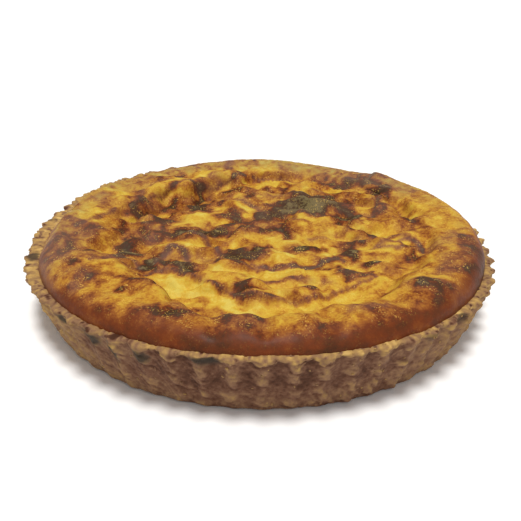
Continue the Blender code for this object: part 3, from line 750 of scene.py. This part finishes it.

# Thin browned lines along wrinkles: the curve they follow, half width, bake, and film with painted sheen.
STREAKS = (
    (((-68, 36), (-63, 46), (-55, 51), (-47, 52), (-40, 58)), 1.3, 0.26, 0),
    (((-36, 64), (-30, 69), (-22, 78)), 1.6, 0.24, 0.1),
    (((0, 86), (14, 85), (26, 82), (36, 76)), 1.0, 0.60, 0.2),
    (((-14, 40), (-7, 34), (-2, 28), (2, 22)), 1.8, 0.58, 0.5),
    (((15, 20), (20, 13), (27, 8.5), (38, 8)), 1.5, 0.20, 0),
    (((9, 20), (13, 12), (17, 3), (18, -5)), 2.4, 0.66, 0),
    (((70, 46), (66, 34), (60, 22)), 1.2, 0.52, 0.3),
    (((58, 10), (66, 10), (74, 14), (79, 10)), 1.2, 0.54, 0),
    (((-48, -36), (-45, -30), (-41, -29), (-37, -34), (-35, -40)), 1.6, 0.62, 0.5),
    (((-42, -50), (-32, -56), (-22, -63), (-13, -72), (-4, -76.5), (9, -75.5), (20, -74)), 0.7, 0.64, 0.1),
    (((0, -47), (10, -45), (20, -43.5), (30, -41)), 0.9, 0.64, 0.3),
    (((59, -25), (65, -23), (72, -22)), 1.3, 0.68, 0.6),
    (((69, -16), (75, -14.5), (79, -19), (80, -26)), 1.0, 0.58, 0.6),
    (((74, -22), (73.5, -30), (73, -39)), 1.4, 0.64, 0.1),
    (((-30, -42), (-18, -43), (-6, -46), (4, -44)), 0.8, 0.56, 0.4),
    (((26, -10), (36, -13), (48, -14)), 0.9, 0.46, 0.4),
    (((-62, 4), (-56, -1), (-50, -4)), 1.0, 0.50, 0.4),
    (((-30, -20), (-24, -26), (-21, -33), (-18, -38)), 1.0, 0.50, 0.3),
    (((54, -47), (47, -52), (40, -58)), 1.0, 0.60, 0.2),
    (((-72, 45), (-66, 54), (-58, 64)), 1.2, 0.52, 0.4),
)

reach = np.hypot(skin_x, skin_y)
turn = np.arctan2(skin_y, skin_x)
bake_and_shading = 0.28 + 0.065 * smooth(reach, 84, 96) * (1 + smooth(-skin_y, 30, 80))
bake_and_shading += 0.34 * uneven(skin_x, 1.3 * skin_y, 11, 51) + 0.20 * uneven(skin_x, 1.3 * skin_y, 4.8, 52)
film_and_sheen = np.zeros_like(skin_x)
# Patch outlines waver: the place is pushed about by two sizes of cloud before it is tested.
waver_x = skin_x + 5.0 * uneven(skin_x, skin_y, 8, 53) + 2.0 * uneven(skin_x, skin_y, 3.1, 54)
waver_y = skin_y + 5.0 * uneven(skin_x, skin_y, 8, 55) + 2.0 * uneven(skin_x, skin_y, 3.1, 56)
spread = 0.72 + 0.36 * noise(skin_x, skin_y, 5.2, 50) + 0.28 * noise(skin_x, skin_y, 2.4, 49)
dome = np.zeros_like(skin_x)
for patch in PATCHES:
    place, level, dull_and_sheen = patch[:5], patch[5], patch[6] if len(patch) > 6 else 0
    inside = oval(waver_x, waver_y, place)
    cover = np.clip(1.35 * spread * np.maximum(inside - 0.03, 0) ** 0.8, 0, 1)
    dome = np.maximum(dome, np.maximum(level - 0.4, 0) * np.sqrt(oval(skin_x, skin_y, place)))
    if level > 0.75:
        # A scorched patch browns the skin round it and lays film with painted sheen there. Its far side
        # is painted darker red-brown as shade, and its near side takes the olive-grey of painted sheen.
        middle_x, middle_y, length, width, slope = place
        wider = middle_x, middle_y, 1.4 * length + 1, 1.4 * width + 1, slope
        halo = oval(waver_x, waver_y, wider)
        halo = np.clip(1.4 * spread * np.maximum(halo - 0.12, 0), 0, 1)
        bake_and_shading += np.maximum(0.61 - bake_and_shading, 0) * halo
        film_and_sheen += np.maximum(0.35 - film_and_sheen, 0) * halo
        level = level - 0.13 * np.clip((waver_y - middle_y) / max(width, 4), -0.5, 1)
    bake_and_shading += (level - bake_and_shading) * cover
    film_and_sheen += (0.6 * dull_and_sheen - film_and_sheen) * cover
for stops, half_width, level, dull_and_sheen in STREAKS:
    off, along_share = crease_distance(waver_x, waver_y, stops)
    cover = np.clip(0.85 * spread * bell(off, 1.2 * half_width), 0, 1)
    bake_and_shading += (level - bake_and_shading) * cover
    film_and_sheen += (dull_and_sheen - film_and_sheen) * cover
# The ring's outer side baked against the rim: glossy red-brown, darker in front and at the near
# right, with one paler place between them, and fainter round the back.
side_level = 0.67 + 0.05 * bell(turn + 0.4, 0.25) + 0.04 * bell(turn + 1.5, 0.5)
side_level -= 0.07 * bell(turn + 0.64, 0.1)
near_side = smooth(-np.sin(turn - 0.25), -0.25, 0.15)
side_reach = reach + 4 * uneven(skin_x, skin_y, 7, 57) - 3.5 * smooth(-np.cos(turn), 0.3, 0.8)
side = (0.35 + 0.65 * near_side) * smooth(side_reach, 105, 114)
bake_and_shading += (side_level + 0.10 * uneven(skin_x, skin_y, 9, 58) - bake_and_shading) * side
film_and_sheen *= 1 - 0.8 * side
# The far and left parts of the ring, seen at a glancing angle, get painted sheen through the film
# and are a little paler.
bake_and_shading += 0.7 * np.maximum(0.30 + 0.11 * smooth(-skin_y, 30, 80) - bake_and_shading, 0) * smooth(reach, 86, 96)
glancing_sheen = smooth(reach, 84, 100) * np.maximum(smooth(skin_y, 10, 80), 0.9 * smooth(-skin_x, 80, 104))
film_and_sheen += 0.42 * glancing_sheen * (1 - film_and_sheen)
bake_and_shading -= 0.06 * glancing_sheen
mottle = 0.24 * uneven(skin_x, skin_y, 4.6, 60) + 0.22 * uneven(skin_x, skin_y, 2.6, 62)
mottle += 0.10 * uneven(skin_x, skin_y, 1.4, 59)
bake_and_shading += mottle * (1 + glancing_sheen) * (1 - 0.8 * side) * (1 - 0.6 * smooth(bake_and_shading, 0.8, 0.95))

# The loose skin lies in soft lumps of two sizes and in wrinkles across the tart. Each wrinkle is a
# wave of the place along, pushed about by clouds, and its far-facing side is painted darker as shade.
# Steep places are painted a little browner, standing in for the glow of light through the custard in
# their shade.
loose = 1 - 0.8 * smooth(reach, 100, 111)
sunken = 1 - smooth(reach, 72, 96)
slant_x, slant_y = 0.85 * skin_x + 0.53 * skin_y, 0.85 * skin_y - 0.53 * skin_x
lump_push = 9 * uneven(skin_x, skin_y, 11, 34)
lumpy = 4.6 * uneven(slant_x + lump_push, slant_y - lump_push, 13, 31)
lumpy += 2.4 * uneven(slant_x - lump_push, slant_y, 6.0, 32) + 0.6 * uneven(skin_x, skin_y, 3.1, 33)
lumpy *= 0.55 + 0.45 * sunken + 0.35 * smooth(-skin_x, 60, 90)
relief += (lumpy + 3.0 * (dome - 0.1)) * loose
slant = 0.35 * skin_x * np.sin(skin_x / 60 + 0.6)
for spacing, push, rise, painted_far_shade, seed in ((14, 22, 1.1, 0.07, 71), (7, 12, 0.3, 0.04, 81)):
    pushed = push * uneven(skin_x, skin_y, 1.9 * spacing, seed)
    pushed += 0.45 * push * uneven(skin_x, skin_y, 0.8 * spacing, seed + 1)
    wave = 2 * np.pi * (skin_y + slant + pushed) / spacing
    share = smooth(noise(skin_x, skin_y, 1.6 * spacing, seed + 2), 0.15, 0.6)
    share *= (0.3 + 0.7 * sunken) * loose
    relief += rise * share * np.sin(wave)
    # Painted shade: each wrinkle's far-facing side is browner.
    bake_and_shading += painted_far_shade * share * np.sin(wave - 0.7)
# A fold's pinched edge browns along its line, partly as painted shade in the crease, and takes film
# with painted sheen.
for stops, lift, fall_off, depth, half_width in FOLDS:
    off, along_share = crease_distance(skin_x, skin_y, stops)
    line = bell(off - 0.6, 1.3) * (along_share > 0) * (along_share < 1)
    bake_and_shading += 0.24 * line
    film_and_sheen += 0.35 * line * (1 - film_and_sheen)
film_and_sheen = np.clip(film_and_sheen, 0, 0.8)
# In the sunken middle, what is pale is a little paler and what is brown a little browner.
bake_and_shading += 0.16 * (bake_and_shading - 0.47) * sunken * smooth(bake_and_shading, 0.15, 0.3) * smooth(0.86 - bake_and_shading, 0, 0.2)
# Painted glow: steep places that are still pale brown a little, for light through the custard in their
# shade.
steep = 1 - facing(skin + relief[..., None] * skin_normal)[..., 2]
half_baked = smooth(0.55 - bake_and_shading, 0, 0.2) * smooth(bake_and_shading, 0.05, 0.25)
bake_and_shading += 0.12 * smooth(steep, 0.03, 0.35) * loose * half_baked


GRAIN_PITCH, GRAIN_HALF_LENGTH, GRAIN_HALF_WIDTH = 4.4, 3.0, 1.15


def grain_humps(across, along, pitch, seed):
    """Height from 0 to 1 of grains on a lattice, pitch apart: each is half of a rounded bar about its
    own jittered middle, and a place takes the highest of the nine grains in the cells round it."""
    count = 64
    jitter_x, jitter_y, way, size = np.random.default_rng(seed).random((4, count, count))
    column, row = np.floor(across / pitch).astype(int), np.floor(along / pitch).astype(int)
    highest = np.zeros_like(across)
    for right in (-1, 0, 1):
        for up in (-1, 0, 1):
            cell = (column + right) % count, (row + up) % count
            off_x = across - (column + right + jitter_x[cell]) * pitch
            off_y = along - (row + up + jitter_y[cell]) * pitch
            far = oval_distance(off_x, off_y, GRAIN_HALF_LENGTH, GRAIN_HALF_WIDTH, np.pi * way[cell])
            highest = np.maximum(highest, (0.4 + 0.6 * size[cell]) * np.sqrt(np.clip(1 - far, 0, 1)))
    return highest


# Grains of rice show through where the skin is thin and pale.
grains = grain_humps(skin_x, skin_y, GRAIN_PITCH, 61)
relief += grains * (0.10 + 0.30 * (1 - smooth(bake_and_shading, 0.2, 0.5))) * (1 - side)
relief *= smooth(SKIN_REACH - reach, 0, 5)

skin_points = (skin + relief[..., None] * skin_normal).reshape(-1, 3)
cells = np.arange((SKIN_CELLS + 1) ** 2).reshape(SKIN_CELLS + 1, SKIN_CELLS + 1)
skin_faces = np.stack([cells[:-1, :-1], cells[1:, :-1], cells[1:, 1:], cells[:-1, 1:]], -1)
# Under the skin, the filling goes down inside the wall and closes over the case's floor.
edge = np.concatenate([cells[:-1, 0], cells[-1, :-1], cells[:0:-1, -1], cells[0, :0:-1]])
edge_turn = np.arctan2(skin_points[edge, 1], skin_points[edge, 0])
loops, filling_points = [edge], [skin_points]
filling_faces = skin_faces.reshape(-1, 4).tolist()
underside, hidden_bake = FLOOR_THICKNESS + 0.3, 0.3
for wall_radius, wall_height in ((SEAM_RADIUS - 1.0, RIM_HEIGHT - 5.0),
                                 (FLOOR_RADIUS - 0.6, underside)):
    loops.append(len(skin_points) + (len(loops) - 1) * len(edge) + np.arange(len(edge)))
    filling_points.append(np.stack([wall_radius * np.cos(edge_turn), wall_radius * np.sin(edge_turn),
                                    wall_height + 0 * edge_turn], -1))
for upper, lower in zip(loops, loops[1:]):
    filling_faces += np.stack([upper, lower, np.roll(lower, -1), np.roll(upper, -1)], -1).tolist()
filling_points = np.vstack(filling_points + [[[0, 0, underside]]])
last = len(filling_points) - 1
filling_faces += [[last, int(b), int(a)] for a, b in zip(loops[-1], np.roll(loops[-1], -1))]
spare = len(filling_points) - len(skin_points)


def add_range(tree, value, **ends):
    """A value carried from the range between From Min and From Max to To Min and To Max."""
    return add_node(tree, "MapRange", Value=value, **ends).outputs["Result"]


def make_skin():
    """Baked custard skin: a ramp over the bake mark and its speckle, with painted sheen at its olive-grey
    top, painted golden glints on the dark places, a dull film with painted sheen where marked, and a
    gloss that is highest on the browned side."""
    material, tree, shader = new_material("baked_custard", Roughness=0.5, Specular_IOR_Level=0.06,
                                          Coat_Roughness=0.35)
    grain = add_node(tree, "Group", node_tree=baked_grain, Speckle_Size=800, Bump_Size=600)
    bake_and_shading_mark, film_and_sheen_mark, glaze_mark = (read_mark(tree, name) for name in ("bake_and_shading", "film_and_sheen", "glaze"))
    speckle_depth = add_range(tree, glaze_mark, To_Min=0.55, To_Max=0.1)
    speckled = add_math(tree, "MULTIPLY_ADD", grain.outputs["Speckle"], speckle_depth, bake_and_shading_mark)
    # The ramp's olive-grey top is painted sheen on scorched skin.
    browned = add_ramp(tree, speckled, (
        (0.00, 214, 190, 88), (0.16, 208, 172, 62), (0.32, 198, 150, 52), (0.45, 176, 118, 42),
        (0.56, 148, 87, 36), (0.67, 112, 54, 26), (0.77, 76, 45, 28), (0.87, 67, 49, 33),
        (0.94, 78, 62, 41), (1.00, 116, 101, 66),
    ))
    # The film colour is a dull mauve film with painted grey sheen on it.
    with_film_and_sheen = add_cover(tree, film_and_sheen_mark, browned, colour(128, 96, 82))
    # Painted golden glints lie in clusters, more of them on dark places, and few on the glossy side.
    place = add_node(tree, "TexCoord").outputs["Object"]
    glint_noise = add_node(tree, "TexNoise", Vector=place, Scale=1500, Detail=1.0).outputs["Fac"]
    clusters = add_node(tree, "TexNoise", Vector=place, Scale=220, Detail=2.0).outputs["Fac"]
    bright = add_range(tree, glint_noise, From_Min=0.58, From_Max=0.68)
    clustered = add_range(tree, clusters, From_Min=0.46, From_Max=0.62)
    on_dark = add_range(tree, bake_and_shading_mark, From_Min=0.1, From_Max=0.7, To_Min=0.55, To_Max=0.65)
    unglazed = add_range(tree, glaze_mark, To_Min=1.0, To_Max=0.1)
    glint_share = add_math(tree, "MULTIPLY", on_dark, clustered)
    for share in (unglazed, bright):
        glint_share = add_math(tree, "MULTIPLY", glint_share, share)
    with_glints = add_cover(tree, glint_share, with_film_and_sheen, colour(238, 194, 92))
    bump = add_node(tree, "Bump", Height=grain.outputs["Bumps"], Strength=0.3, Distance=0.0004)
    tree.links.new(with_glints, shader.inputs["Base Color"])
    tree.links.new(add_range(tree, glaze_mark, To_Min=0.0, To_Max=0.06), shader.inputs["Coat Weight"])
    tree.links.new(bump.outputs["Normal"], shader.inputs["Normal"])
    return material


custard = make_skin()
filling = piece_from_grid("rice_custard", filling_points, filling_faces, custard,
                          {"bake_and_shading": np.append(bake_and_shading.ravel(), np.full(spare, hidden_bake)),
                           "glaze": np.append(side.ravel(), np.zeros(spare)),
                           "film_and_sheen": np.append(film_and_sheen.ravel(), np.zeros(spare))})
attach(filling, "root")
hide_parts("rice_filling")


# ---- Floor, light and camera -----------------------------------------------------------------
# A pale table top, one wide soft light from overhead and a little in front, a weak one from low in
# front, and an even white surround. Lengths here are in metres.

TABLE_HALF = 12.0


def make_floor():
    """A flat square table top at height 0, with its middle under the tart."""
    mesh = bpy.data.meshes.new("table_top")
    corners = [(-TABLE_HALF, -TABLE_HALF, 0), (TABLE_HALF, -TABLE_HALF, 0),
               (TABLE_HALF, TABLE_HALF, 0), (-TABLE_HALF, TABLE_HALF, 0)]
    mesh.from_pydata(corners, [], [(0, 1, 2, 3)])
    mesh.materials.append(new_material("pale_table", Base_Color=(1, 1, 1, 1), Roughness=0.8)[0])
    table = bpy.data.objects.new("table_top", mesh)
    bpy.context.scene.collection.objects.link(table)
    return table


def add_sun(name, towards, width, strength, tint):
    """Soft light from a distant disc in the direction towards, which is width degrees wide."""
    sun = bpy.data.lights.new(name, "SUN")
    sun.angle, sun.energy, sun.color = np.radians(width), strength, tint
    holder = bpy.data.objects.new(name, sun)
    holder.rotation_euler = Vector(towards).to_track_quat("Z", "Y").to_euler()
    bpy.context.scene.collection.objects.link(holder)


floor = make_floor()
LIGHT_TINT = 1.0, 0.99, 0.97
add_sun("overhead_light", (0.0, -0.13, 1.0), 16, 2.5, LIGHT_TINT)
add_sun("front_light", (0.3, -1.0, 0.9), 40, 0.3, LIGHT_TINT)

world = bpy.data.worlds.new("studio")
world.use_nodes = True
surround = world.node_tree.nodes["Background"].inputs
surround["Color"].default_value, surround["Strength"].default_value = (1, 1, 1, 1), 0.33
bpy.context.scene.world = world
bpy.context.scene.view_settings.view_transform = "Standard"

# The camera stands in front, 26 degrees up, and rolls by less than a degree.
CAMERA_DISTANCE, CAMERA_RISE, CAMERA_ROLL = 0.36, np.radians(26.2), np.radians(-0.68)
AIM = np.array([-0.0001, 0.0, 0.0142])
camera_data = bpy.data.cameras.new("camera")
camera_data.lens, camera_data.sensor_width, camera_data.clip_start = 45.47, 36.0, 0.01
camera = bpy.data.objects.new("camera", camera_data)
bpy.context.scene.collection.objects.link(camera)
away = np.array([0, -np.cos(CAMERA_RISE), np.sin(CAMERA_RISE)])
level_right, level_up = np.array([1, 0, 0]), np.cross(away, [1, 0, 0])
cosine, sine = np.cos(CAMERA_ROLL), np.sin(CAMERA_ROLL)
camera_axes = Matrix((cosine * level_right - sine * level_up,
                      sine * level_right + cosine * level_up, away)).transposed().to_4x4()
camera.matrix_world = Matrix.Translation(AIM + away * CAMERA_DISTANCE) @ camera_axes
bpy.context.scene.camera = camera
